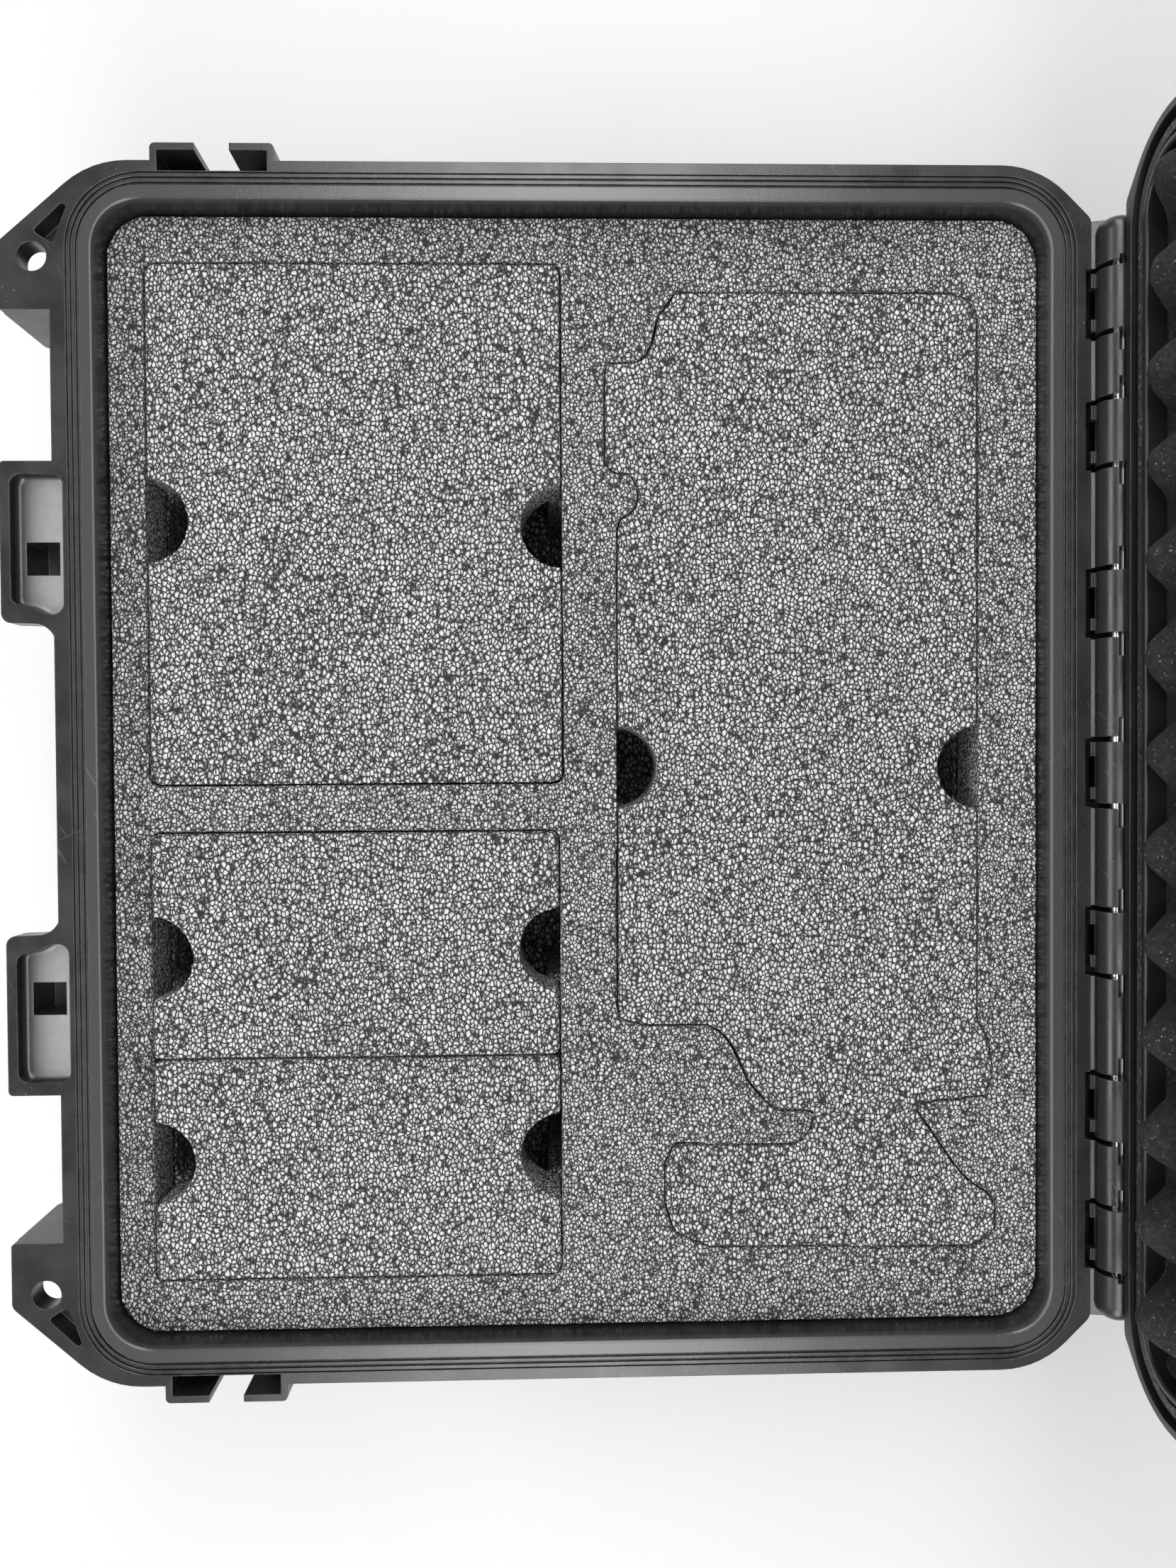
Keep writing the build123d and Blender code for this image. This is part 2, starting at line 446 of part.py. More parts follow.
with BuildPart() as lid_shell:
    with BuildSketch(Plane.XY.offset(LID_Z0)):
        with Locations((0, (TUB_Y0 + TUB_Y1) / 2)):
            RectangleRounded(2 * TUB_X, TUB_Y1 - TUB_Y0, IN_R + WALL)
    extrude(amount=LID_Z1 - LID_Z0)
    fillet(lid_shell.edges().filter_by(Plane.XY).group_by(Axis.Z)[-1], 10.0)
    # raised ribs on the lid top
    with BuildSketch(Plane.XY.offset(LID_Z1 - 1)):
        with Locations((0, (TUB_Y0 + TUB_Y1) / 2)):
            RectangleRounded(300, 236, 14)
            RectangleRounded(286, 222, 10, mode=Mode.SUBTRACT)
        with Locations((-84, 6.75), (-28, 6.75), (28, 6.75), (84, 6.75)):
            RectangleRounded(12, 190, 5.9)
    extrude(amount=2.5)
    # flange
    with BuildSketch(Plane.XY.offset(LID_Z0)):
        with BuildLine():
            Polyline((-FL_X, 155.0), (-FL_X, -145), (-168, LUG_Y), (-147.5, LUG_Y), (-147.5, FL_Y0),
                     (147.5, FL_Y0), (147.5, LUG_Y), (168, LUG_Y), (FL_X, -145), (FL_X, 155.0),
                     (178.0, LID_Y1), (-178.0, LID_Y1), close=True)
        make_face()
        fillet(vertices().filter_by(lambda v: abs(abs(v.X) - FL_X) < 0.1), CORNER_R)
        fillet(vertices().filter_by(lambda v: abs(v.Y - LUG_Y) < 0.1 and abs(v.X) > 160), 3.0)
        fillet(vertices().filter_by(lambda v: abs(v.Y - LUG_Y) < 0.1 and abs(v.X) < 150), 1.2)
        fillet(vertices().filter_by(lambda v: abs(v.Y - LID_Y1) < 0.1), 4.0)
    extrude(amount=6.5)
    # pads over the latch catches, with cheeks that carry the latch pins
    for s in (-1, 1):
        with BuildSketch(Plane.XY.offset(LID_Z0)):
            with BuildLine():
                l1 = Polyline((s * 41.0, -150), (s * CATCH_X1, -150), (s * CATCH_X1, LUG_Y + 0.4), (s * 52.5, LUG_Y + 0.4))
                l2 = TangentArc(l1 @ 1, (s * 49.4, -171.2), tangent=(-s, 0))
                l3 = Line(l2 @ 1, (s * 49.2, -165.0))
                l4 = TangentArc(l3 @ 1, (s * 41.0, -157.8), tangent=(0, 1))
                Line(l4 @ 1, l1 @ 0)
            make_face()
            fillet(vertices().filter_by(lambda v: abs(v.Y - (LUG_Y + 0.4)) < 0.2 and abs(v.X) > 90 and v.X * s > 0), 1.5)
        extrude(amount=6.5)
        for cx in (52.2, 97.8):
            with BuildSketch(Plane.YZ.offset(s * cx)):
                with BuildLine():
                    Polyline((TUB_Y0 + 1, LID_Z0 + 2), (-170.5, LID_Z0 + 2), (LATCH_A[0] - 5.9, LATCH_A[1] - 1), (LATCH_A[0], LATCH_A[1] + 5.9),
                             (TUB_Y0 + 1, LATCH_A[1] + 9), close=True)
                make_face()
                with Locations(LATCH_A):
                    Circle(6.0)
            extrude(amount=2.0, both=True)
    # lid knuckles, their arms and the stop tabs at the roots
    for c in KNUCKLES:
        with BuildSketch(Plane.YZ.offset(c - KNUCKLE_L / 2)):
            with Locations((HINGE_Y, HINGE_Z)):
                Circle(BARREL_R)
            with BuildLine():
                Polyline((LID_Y1 - 2, LID_Z0 + 0.2), (HINGE_Y - 6.4, LID_Z0 + 0.2), (HINGE_Y, HINGE_Z), (HINGE_Y, HINGE_Z + BARREL_R),
                         (LID_Y1 - 2, LID_Z0 + 6.5), close=True)
            make_face()
        extrude(amount=KNUCKLE_L)
        with BuildSketch(Plane.YZ.offset(c - KNUCKLE_L / 2)):
            with BuildLine():
                Polyline((HINGE_Y + 1.6, HINGE_Z - 4.0), (HINGE_Y + 1.6, HINGE_Z - 7.6), (HINGE_Y + 5.0, HINGE_Z - 7.6), (HINGE_Y + 5.0, HINGE_Z - 3.0), close=True)
            make_face()
        extrude(amount=4.5)
        with BuildSketch(Plane.YZ.offset(c + 4.8)):
            with BuildLine():
                Polyline((HINGE_Y + 1.6, HINGE_Z - 4.0), (HINGE_Y + 1.6, HINGE_Z - 7.6), (HINGE_Y + 5.0, HINGE_Z - 7.6), (HINGE_Y + 5.0, HINGE_Z - 3.0), close=True)
            make_face()
        extrude(amount=3.8)
    # hollow and seal channel
    add(lid_void.part, mode=Mode.SUBTRACT)
    with BuildSketch(Plane.XY.offset(LID_Z0 - 0.5)):
        with Locations((0, IN_CY)):
            RectangleRounded(2 * IN_X + 19.2, IN_DY + 19.2, IN_R + 9.6)
            RectangleRounded(2 * IN_X + 3.8, IN_DY + 3.8, IN_R + 1.9, mode=Mode.SUBTRACT)
    extrude(amount=3.5, mode=Mode.SUBTRACT)
    # bores
    with BuildSketch(Plane.YZ.offset(-PIN_LEN / 2)):
        with Locations((HINGE_Y, HINGE_Z)):
            Circle(PIN_R + 0.08)
    extrude(amount=PIN_LEN, mode=Mode.SUBTRACT)
    for s in (-1, 1):
        with BuildSketch(Plane.YZ.offset(s * 48.0)):
            with Locations(LATCH_A):
                Circle(PIN_R + 0.03)
        extrude(amount=s * 54.0, mode=Mode.SUBTRACT)
    with Locations((LOCK_X, LOCK_Y, LID_Z0 + 8), (-LOCK_X, LOCK_Y, LID_Z0 + 8)):
        Hole(radius=LOCK_R, depth=20)
    lid_rim = lid_shell.edges().filter_by(Plane.XY).filter_by(
        lambda e: abs(e.center().Z - LID_Z0) < 0.01 and e.bounding_box().max.X <= IN_X + 0.01 and e.bounding_box().min.X >= -IN_X - 0.01
        and e.bounding_box().max.Y <= IN_Y1 + 0.01 and e.bounding_box().min.Y >= IN_Y0 - 0.01)
    fillet(lid_rim, 0.8)
lid_closed = lid_shell.part
lid_open = hinge_turn(lid_closed, LID_OPEN, (HINGE_Y, HINGE_Z))
lid_open.label = "lid_shell"
export_step(lid_open, "parts/lid_shell.step")
print("lid", lid_open.is_valid, len(lid_open.solids()))

# seal lying in the lid channel
with BuildPart() as lid_gasket:
    with BuildSketch(Plane.XY.offset(LID_Z0 + 1.0)):
        with Locations((0, IN_CY)):
            RectangleRounded(2 * IN_X + 13.6, IN_DY + 13.6, IN_R + 6.8)
            RectangleRounded(2 * IN_X + 8.2, IN_DY + 8.2, IN_R + 4.1, mode=Mode.SUBTRACT)
    extrude(amount=2.0)
gasket_open = hinge_turn(lid_gasket.part, LID_OPEN, (HINGE_Y, HINGE_Z))
gasket_open.label = "lid_gasket"
export_step(gasket_open, "parts/lid_gasket.step")

# ---------------------------------------------------------------- lid foam: egg-crate slab
with BuildPart() as lid_foam:
    with BuildSketch(Plane.XY.offset(LID_Z0 + 6.0)):
        with Locations((0, IN_CY)):
            RectangleRounded(2 * (IN_X - FOAM_GAP), IN_DY - 2 * FOAM_GAP, IN_R - FOAM_GAP)
    extrude(amount=LID_Z1 - WALL - 0.2 - LID_Z0 - 6.0)
    fillet(lid_foam.edges().filter_by(Plane.XY).group_by(Axis.Z)[-1], 9.0)
    with Locations(*[(-146 + 28.0 * i, 144.0 - 28.0 * j, LID_Z0 + 6.5) for i in range(12) for j in range(10)]):
        Cone(bottom_radius=12.6, top_radius=3.5, height=14.0, rotation=(180, 0, 0), align=(Align.CENTER, Align.CENTER, Align.MIN))
foam_open = hinge_turn(lid_foam.part, LID_OPEN, (HINGE_Y, HINGE_Z))
foam_open.label = "lid_foam"
export_step(foam_open, "parts/lid_foam.step")
print("lid foam", foam_open.is_valid, len(foam_open.solids()), lid_foam.part.bounding_box())

# ---------------------------------------------------------------- toggle latches (drawn latched, lid closed)
for side, s in (("left", -1), ("right", 1)):
    with BuildPart() as latch_pin:
        with BuildSketch(Plane.YZ.offset(s * 50.0)):
            with Locations(LATCH_A):
                Circle(PIN_R)
        extrude(amount=s * 50.0)
        chamfer(latch_pin.edges().filter_by(GeomType.CIRCLE), 0.3)
    lp = hinge_turn(latch_pin.part, LID_OPEN, (HINGE_Y, HINGE_Z))
    lp.label = "latch_pin_" + side
    export_step(lp, "parts/latch_pin_" + side + ".step")

    with BuildPart() as latch_link:
        with BuildSketch(Plane.YZ.offset(s * 54.6)):
            with Locations(LATCH_A):
                Circle(4.5)
            with Locations(LATCH_B):
                Circle(3.2)
            with BuildLine():
                Polyline((LATCH_A[0] - 1.0, LATCH_A[1] + 4.4), (LATCH_A[0] - 4.4, LATCH_A[1] + 1.0), (-177.8, H + 9.0), (-177.8, H - 1.0), (-180.5, H - 4.0), (LATCH_B[0], LATCH_B[1]),
                         (-176.2, H - 4.2), (-175.4, H - 1.0), (-175.4, H + 8.0), (LATCH_A[0] - 3.0, LATCH_A[1] - 3.4), (LATCH_A[0], LATCH_A[1]), close=True)
            make_face()
        extrude(amount=s * 40.8)
        # window for the lever hub and hook at the lower end
        with BuildSketch(Plane.XY.offset(H - 10)):
            with Locations((s * 75.0, LATCH_B[0])):
                Rectangle(26.0, 12.0)
        extrude(amount=10.4, mode=Mode.SUBTRACT)
        # lightening window in the plate
        with BuildSketch(Plane.XZ.offset(185)):
            with Locations((s * 75.0, H + 6.0)):
                RectangleRounded(24.0, 5.0, 1.5)
        extrude(amount=-12, mode=Mode.SUBTRACT)
        with BuildSketch(Plane.YZ.offset(s * 54.0)):
            with Locations(LATCH_A):
                Circle(PIN_R + 0.08)
            with Locations(LATCH_B):
                Circle(1.53)
        extrude(amount=s * 42.0, mode=Mode.SUBTRACT)
    lk = hinge_turn(latch_link.part, LINK_OPEN, LATCH_A)
    lk = hinge_turn(lk, LID_OPEN, (HINGE_Y, HINGE_Z))
    lk.label = "latch_link_" + side
    export_step(lk, "parts/latch_link_" + side + ".step")

    with BuildPart() as lever_pin:
        with BuildSketch(Plane.YZ.offset(s * 54.8)):
            with Locations(LATCH_B):
                Circle(1.5)
        extrude(amount=s * 40.4)
    vp = hinge_turn(lever_pin.part, LINK_OPEN, LATCH_A)
    vp = hinge_turn(vp, LID_OPEN, (HINGE_Y, HINGE_Z))
    vp.label = "lever_pin_" + side
    export_step(vp, "parts/lever_pin_" + side + ".step")

    with BuildPart() as latch_lever:
        # hub and hook
        with BuildSketch(Plane.YZ.offset(s * 62.4)):
            with Locations(LATCH_B):
                Circle(3.4)
            with BuildLine():
                Polyline((-183.5, H - 5.0), (-183.5, H - 11.5), (-171.8, H - 11.5), (-171.8, H - 8.3), (-176.0, H - 8.3), (-176.4, H - 6.0), (-178.0, H - 4.6), close=True)
            make_face()
        extrude(amount=s * 25.2)
        # pull plate
        with BuildSketch(Plane.YZ.offset(s * 57.0)):
            with BuildLine():
                Polyline((-182.7, H - 5.2), (-185.6, H - 5.2), (-186.2, H - 20.0), (-187.6, H - 30.0), (-190.5, H - 36.5), (-187.8, H - 37.5), (-184.8, H - 31.0), (-183.4, H - 20.0), (-182.7, H - 11.0), close=True)
            make_face()
        extrude(amount=s * 36.0)
        fillet(latch_lever.edges().filter_by(Axis.X).group_by(Axis.Z)[0], 0.8)
        # finger grooves across the plate
        with BuildSketch(Plane.XZ.offset(190)):
            with Locations(*[(s * 75.0, H - 14.0 - 5.0 * i) for i in range(3)]):
                RectangleRounded(26.0, 1.8, 0.8)
        extrude(amount=-4.8, mode=Mode.SUBTRACT)
        with BuildSketch(Plane.YZ.offset(s * 62.0)):
            with Locations(LATCH_B):
                Circle(1.56)
        extrude(amount=s * 26.0, mode=Mode.SUBTRACT)
    lv = hinge_turn(latch_lever.part, LEVER_OPEN, LATCH_B)
    lv = hinge_turn(lv, LINK_OPEN, LATCH_A)
    lv = hinge_turn(lv, LID_OPEN, (HINGE_Y, HINGE_Z))
    lv.label = "latch_lever_" + side
    export_step(lv, "parts/latch_lever_" + side + ".step")
    print(side, lp.is_valid, lk.is_valid, lv.is_valid, len(lk.solids()), len(lv.solids()))

# ---------------------------------------------------------------- carry handle, hanging on the front wall
with BuildPart() as handle:
    for s in (-1, 1):
        with BuildSketch(Plane.YZ.offset(s * 49.0)):
            with Locations((HANDLE_Y, HANDLE_Z)):
                Circle(5.5)
            with Locations((HANDLE_Y, HANDLE_Z - 22)):
                Rectangle(9.0, 44.0)
            with Locations((HANDLE_Y, HANDLE_Z - 44)):
                Circle(4.5)
        extrude(amount=s * 5.9)
    with BuildSketch(Plane.YZ.offset(-54.9)):
        with Locations((HANDLE_Y, HANDLE_Z - 46)):
            RectangleRounded(12.0, 18.0, 5.5)
    extrude(amount=109.8)
    fillet(handle.edges().filter_by(Plane.YZ).filter_by(lambda e: abs(abs(e.center().X) - 54.9) < 0.05 and e.center().Z < HANDLE_Z - 40), 0.8)
    with BuildSketch(Plane.YZ.offset(-56)):
        with Locations((HANDLE_Y, HANDLE_Z)):
            Circle(2.57)
    extrude(amount=112, mode=Mode.SUBTRACT)
handle.part.label = "handle"
export_step(handle.part, "parts/handle.step")

# soft grip sleeve is moulded over the middle of the bar as a separate piece
with BuildPart() as handle_grip:
    with BuildSketch(Plane.YZ.offset(-40)):
        with Locations((HANDLE_Y, HANDLE_Z - 46)):
            RectangleRounded(14.6, 20.6, 6.6)
            RectangleRounded(12.1, 18.1, 5.5, mode=Mode.SUBTRACT)
    extrude(amount=80)
handle_grip.part.label = "handle_grip"
export_step(handle_grip.part, "parts/handle_grip.step")

with BuildPart() as handle_pins:
    for s in (-1, 1):
        with BuildSketch(Plane.YZ.offset(s * 49.4)):
            with Locations((HANDLE_Y, HANDLE_Z)):
                Circle(2.5)
        extrude(amount=s * 11.4)
        with BuildSketch(Plane.YZ.offset(s * 60.8)):
            with Locations((HANDLE_Y, HANDLE_Z)):
                Circle(4.0)
        extrude(amount=s * 1.4)
handle_pins.part.label = "handle_pins"
export_step(handle_pins.part, "parts/handle_pins.step")

# ---------------------------------------------------------------- pressure valve in the front wall
with BuildPart() as valve_body:
    with BuildSketch(Plane.XZ.offset(-TUB_Y0 - 3.3)):
        with Locations((0, 72.0)):
            Circle(7.0)
    extrude(amount=4.5)
    with BuildSketch(Plane.XZ.offset(-TUB_Y0 + 1.2)):
        with Locations((0, 72.0)):
            RegularPolygon(10.4, 6)
    extrude(amount=2.0)
valve_body.part.label = "valve_body"
export_step(valve_body.part, "parts/valve_body.step")

with BuildPart() as valve_seal:
    with BuildSketch(Plane.XZ.offset(-TUB_Y0 + 0.05)):
        with Locations((0, 72.0)):
            Circle(9.6)
            Circle(7.2, mode=Mode.SUBTRACT)
    extrude(amount=1.1)
valve_seal.part.label = "valve_seal"
export_step(valve_seal.part, "parts/valve_seal.step")

with BuildPart() as valve_cap:
    with BuildSketch(Plane.XZ.offset(-TUB_Y0 + 3.25)):
        with Locations((0, 72.0)):
            Circle(6.2)
    extrude(amount=1.6)
    fillet(valve_cap.edges().filter_by(GeomType.CIRCLE).group_by(Axis.Y)[0], 0.6)
    with BuildSketch(Plane.XZ.offset(-TUB_Y0 + 3.0)):
        with Locations((0, 72.0)):
            with PolarLocations(3.6, 4):
                Circle(0.8)
    extrude(amount=3, mode=Mode.SUBTRACT)
valve_cap.part.label = "valve_cap"
export_step(valve_cap.part, "parts/valve_cap.step")
print("all done")
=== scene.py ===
import bpy
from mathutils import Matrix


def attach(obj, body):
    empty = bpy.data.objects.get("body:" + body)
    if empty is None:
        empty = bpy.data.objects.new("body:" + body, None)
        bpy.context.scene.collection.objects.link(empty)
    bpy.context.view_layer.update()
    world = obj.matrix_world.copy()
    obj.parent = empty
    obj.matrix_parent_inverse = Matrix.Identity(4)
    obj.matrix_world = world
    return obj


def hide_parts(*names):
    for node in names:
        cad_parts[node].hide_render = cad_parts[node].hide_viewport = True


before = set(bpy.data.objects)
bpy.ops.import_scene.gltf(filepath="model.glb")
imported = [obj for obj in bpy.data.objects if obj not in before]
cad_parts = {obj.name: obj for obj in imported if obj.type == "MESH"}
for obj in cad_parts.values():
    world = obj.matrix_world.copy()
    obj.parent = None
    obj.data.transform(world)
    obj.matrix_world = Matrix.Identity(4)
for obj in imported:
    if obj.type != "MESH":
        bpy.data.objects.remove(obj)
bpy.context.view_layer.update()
import bpy, bmesh, math
import numpy as np
from mathutils import Matrix, Vector

H = 0.116
IN_X, IN_Y0, IN_Y1, IN_R = 0.182, -0.145, 0.1585, 0.015
HY, HZ = 0.1795, 0.1175
scene = bpy.context.scene


# ---------------------------------------------------------------- node helpers
class Tree:
    def __init__(self, name):
        self.m = bpy.data.materials.new(name)
        self.m.use_nodes = True
        self.t = self.m.node_tree
        self.t.nodes.clear()
        self.out = self.t.nodes.new("ShaderNodeOutputMaterial")
        self.bsdf = self.t.nodes.new("ShaderNodeBsdfPrincipled")
        self.t.links.new(self.bsdf.outputs[0], self.out.inputs[0])
        tc = self.t.nodes.new("ShaderNodeTexCoord")
        self.P = tc.outputs["Object"]
        g = self.t.nodes.new("ShaderNodeNewGeometry")
        self.Nrm = g.outputs["Normal"]

    def put(self, sock, v):
        if isinstance(v, bpy.types.NodeSocket):
            self.t.links.new(v, sock)
        else:
            sock.default_value = v

    def math(self, op, a, b=0.0, c=None, clamp=False):
        n = self.t.nodes.new("ShaderNodeMath"); n.operation = op; n.use_clamp = clamp
        self.put(n.inputs[0], a); self.put(n.inputs[1], b)
        if c is not None:
            self.put(n.inputs[2], c)
        return n.outputs[0]

    def vmath(self, op, a, b=(0, 0, 0)):
        n = self.t.nodes.new("ShaderNodeVectorMath"); n.operation = op
        self.put(n.inputs[0], a); self.put(n.inputs[1], b)
        return n.outputs["Value"] if op in ("LENGTH", "DOT_PRODUCT") else n.outputs[0]

    def scaled(self, v):
        return self.vmath("MULTIPLY", self.P, v)

    def noise(self, scale, detail=3.0, rough=0.55, vec=None, dist=0.0):
        n = self.t.nodes.new("ShaderNodeTexNoise")
        self.put(n.inputs["Vector"], vec or self.P)
        n.inputs["Scale"].default_value = scale
        n.inputs["Detail"].default_value = detail
        n.inputs["Roughness"].default_value = rough
        n.inputs["Distortion"].default_value = dist
        return n.outputs[0]

    def vor(self, scale, feature="F1", vec=None, rand=1.0, smooth=None):
        n = self.t.nodes.new("ShaderNodeTexVoronoi"); n.feature = feature
        self.put(n.inputs["Vector"], vec or self.P)
        n.inputs["Scale"].default_value = scale
        n.inputs["Randomness"].default_value = rand
        if smooth is not None and "Smoothness" in n.inputs:
            n.inputs["Smoothness"].default_value = smooth
        return n

    def ramp(self, fac, stops):
        n = self.t.nodes.new("ShaderNodeValToRGB")
        self.put(n.inputs[0], fac)
        e = n.color_ramp.elements
        while len(e) > 2:
            e.remove(e[-1])
        for i, (p, c) in enumerate(stops):
            if i < 2:
                e[i].position = p
            else:
                e.new(p)
            e[i].color = (c, c, c, 1) if not isinstance(c, tuple) else (*c, 1)
        return n.outputs[0]

    def step(self, v, a, b):
        """0 below a, 1 above b, smooth between"""
        n = self.t.nodes.new("ShaderNodeMapRange"); n.interpolation_type = "SMOOTHSTEP"
        self.put(n.inputs[0], v)
        n.inputs[1].default_value = a; n.inputs[2].default_value = b
        n.inputs[3].default_value = 0.0; n.inputs[4].default_value = 1.0
        return n.outputs[0]

    def mix(self, f, a, b):
        n = self.t.nodes.new("ShaderNodeMix"); n.data_type = "RGBA"
        self.put(n.inputs[0], f)
        self.put(n.inputs[6], a if isinstance(a, bpy.types.NodeSocket) else (*a, 1))
        self.put(n.inputs[7], b if isinstance(b, bpy.types.NodeSocket) else (*b, 1))
        return n.outputs[2]

    def lerp(self, f, a, b):
        n = self.t.nodes.new("ShaderNodeMix"); n.data_type = "FLOAT"
        self.put(n.inputs[0], f); self.put(n.inputs[2], a); self.put(n.inputs[3], b)
        return n.outputs[0]

    def bump(self, height, dist, strength=1.0, normal=None):
        n = self.t.nodes.new("ShaderNodeBump")
        self.put(n.inputs["Height"], height)
        n.inputs["Distance"].default_value = dist
        n.inputs["Strength"].default_value = strength
        if normal is not None:
            self.put(n.inputs["Normal"], normal)
        return n.outputs[0]

    def bevel(self, r):
        n = self.t.nodes.new("ShaderNodeBevel"); n.samples = 4
        n.inputs["Radius"].default_value = r
        return n.outputs[0]

    def sep(self, v=None):
        n = self.t.nodes.new("ShaderNodeSeparateXYZ"); self.put(n.inputs[0], v or self.P)
        return n.outputs

    def comb(self, x, y, z):
        n = self.t.nodes.new("ShaderNodeCombineXYZ")
        for i, q in enumerate((x, y, z)):
            self.put(n.inputs[i], q)
        return n.outputs[0]

    def set(self, **k):
        for name, v in k.items():
            s = self.bsdf.inputs[name.replace("_", " ")]
            self.put(s, v)
        return self.m


def streaks(t, angle, seed, thr=0.70, freq=900.0):
    """short fine scratches along one direction"""
    c, s = math.cos(angle), math.sin(angle)
    x, y, z = t.sep()
    u = t.math("ADD", t.math("MULTIPLY", x, c), t.math("MULTIPLY", y, s))
    v = t.math("ADD", t.math("MULTIPLY", x, -s), t.math("MULTIPLY", y, c))
    w = t.comb(t.math("MULTIPLY", u, 70.0), t.math("MULTIPLY", v, freq), t.math("ADD", t.math("MULTIPLY", z, 30.0), seed))
    return t.step(t.noise(1.0, 1.0, 0.4, vec=w), thr, thr + 0.05)


# ---------------------------------------------------------------- plastic
def plastic(name, base=(0.0082, 0.0088, 0.0098), rough=0.28, shell=False, grain=2100.0):
    t = Tree(name)
    x, y, z = t.sep()
    big = t.noise(22.0, 2.0)
    mid = t.noise(160.0, 4.0, 0.6)
    col = t.mix(t.step(big, 0.35, 0.7), base, tuple(c * 1.25 for c in base))
    col = t.mix(t.math("MULTIPLY", t.step(mid, 0.4, 0.8), 0.35), col, tuple(c * 1.6 for c in base))
    r = t.lerp(t.step(t.noise(60.0, 4.0), 0.3, 0.7), rough - 0.05, rough + 0.07)
    # edge mask from the bevel normal: the lighter, smoother rounded edges are partly wear and partly painted
    # highlight
    bev = t.bevel(0.00055)
    edge = t.step(t.math("SUBTRACT", 1.0, t.vmath("DOT_PRODUCT", bev, t.Nrm)), 0.03, 0.22)
    edge_wear_and_highlight = t.math("MULTIPLY", edge, t.lerp(t.step(t.noise(220.0, 5.0, 0.7), 0.42, 0.62), 0.25, 1.0))
    sc = t.math("MAXIMUM", streaks(t, 0.5, 3.0), streaks(t, -1.1, 11.0, 0.71, 1200.0))
    sc = t.math("MULTIPLY", sc, t.step(t.noise(14.0, 2.0), 0.5, 0.66))
    dust = t.math("MULTIPLY", t.step(t.vor(620.0).outputs["Distance"], 0.10, 0.06), t.step(t.noise(45.0, 3.0), 0.55, 0.75))
    upness = t.step(t.vmath("DOT_PRODUCT", t.Nrm, (0, 0, 1)), 0.2, 0.8)
    dust = t.math("MULTIPLY", dust, upness)
    h = t.noise(grain, 3.0, 0.6)
    gstr = 0.000045
    if shell:
        # distance outside the rounded opening, for the smoother inner band whose lighter colour is painted sheen
        ax = t.math("SUBTRACT", t.math("ABSOLUTE", x), IN_X - IN_R)
        cy = (IN_Y0 + IN_Y1) / 2
        ay = t.math("SUBTRACT", t.math("ABSOLUTE", t.math("SUBTRACT", y, cy)), (IN_Y1 - IN_Y0) / 2 - IN_R)
        mx, my = t.math("MAXIMUM", ax, 0.0), t.math("MAXIMUM", ay, 0.0)
        d = t.math("SQRT", t.math("ADD", t.math("MULTIPLY", mx, mx), t.math("MULTIPLY", my, my)))
        d = t.math("SUBTRACT", t.math("ADD", d, t.math("MINIMUM", t.math("MAXIMUM", ax, ay), 0.0)), IN_R)
        top = t.step(z, H - 0.0035, H - 0.0015)
        smooth_band_and_sheen = t.math("MULTIPLY", t.math("MULTIPLY", t.step(d, 0.0046, 0.0042), t.step(d, -0.002, -0.0005)), top)
        # painted sheen: lighter colour on the smoother inner band
        col = t.mix(t.math("MULTIPLY", smooth_band_and_sheen, 0.75), col, (0.036, 0.038, 0.040))
        r = t.lerp(smooth_band_and_sheen, r, 0.25)
        # scratched satin floor of the catch pockets: its lighter colour is painted reflection, darker towards the
        # outer -Y side as painted shade
        px = t.math("ABSOLUTE", x)
        pocket_sheen_mask = t.math("MULTIPLY", t.step(px, 0.0500, 0.0520), t.step(px, 0.0962, 0.0945))
        pocket_sheen_mask = t.math("MULTIPLY", pocket_sheen_mask, t.math("MULTIPLY", t.step(y, -0.1722, -0.1712), t.step(y, -0.1553, -0.1563)))
        pocket_sheen_mask = t.math("MULTIPLY", pocket_sheen_mask, t.math("MULTIPLY", t.step(z, H - 0.0026, H - 0.0042), t.step(z, H - 0.0065, H - 0.0055)))
        pocket_sheen_mask = t.math("MULTIPLY", t.math("MULTIPLY", pocket_sheen_mask, t.step(y, -0.1710, -0.1665)), upness)
        pocket_sheen_shade_col = t.mix(t.step(t.noise(300.0, 3.0), 0.3, 0.75), (0.150, 0.153, 0.158), (0.176, 0.180, 0.185))
        # painted shade: the pocket floor colour darkens towards -Y
        pocket_sheen_shade_col = t.mix(t.step(y, -0.1590, -0.1700), pocket_sheen_shade_col, (0.085, 0.087, 0.090))
        pocket_sheen_shade_col = t.mix(t.math("MULTIPLY", sc, 0.6), pocket_sheen_shade_col, (0.05, 0.05, 0.052))
        col = t.mix(pocket_sheen_mask, col, pocket_sheen_shade_col)
        r = t.lerp(pocket_sheen_mask, r, 0.34)
    else:
        smooth_band_and_sheen = pocket_sheen_mask = 0.0
    # painted highlight mixed with wear: lighter colour along rounded edges
    col = t.mix(t.math("MULTIPLY", edge_wear_and_highlight, 0.55), col, (0.13, 0.135, 0.14))
    col = t.mix(t.math("MULTIPLY", sc, 0.22), col, (0.10, 0.10, 0.105))
    col = t.mix(dust, col, (0.33, 0.33, 0.32))
    r = t.lerp(dust, r, 0.85)
    r = t.lerp(t.math("MULTIPLY", edge_wear_and_highlight, 0.5), r, rough - 0.12)
    n = t.bump(t.noise(30.0, 1.5), 0.00025, 1.0, bev)
    n = t.bump(h, gstr, 1.0, n)
    n = t.bump(sc, 0.00002, 1.0, n)
    return t.set(Base_Color=col, Roughness=r, Normal=n)


M_shell = plastic("plastic_shell", shell=True)
M_lid = plastic("plastic_lid", rough=0.30)
M_latch = plastic("plastic_latch", base=(0.0082, 0.0088, 0.0098), rough=0.28, grain=2500.0)
M_handle = plastic("plastic_handle", rough=0.30)


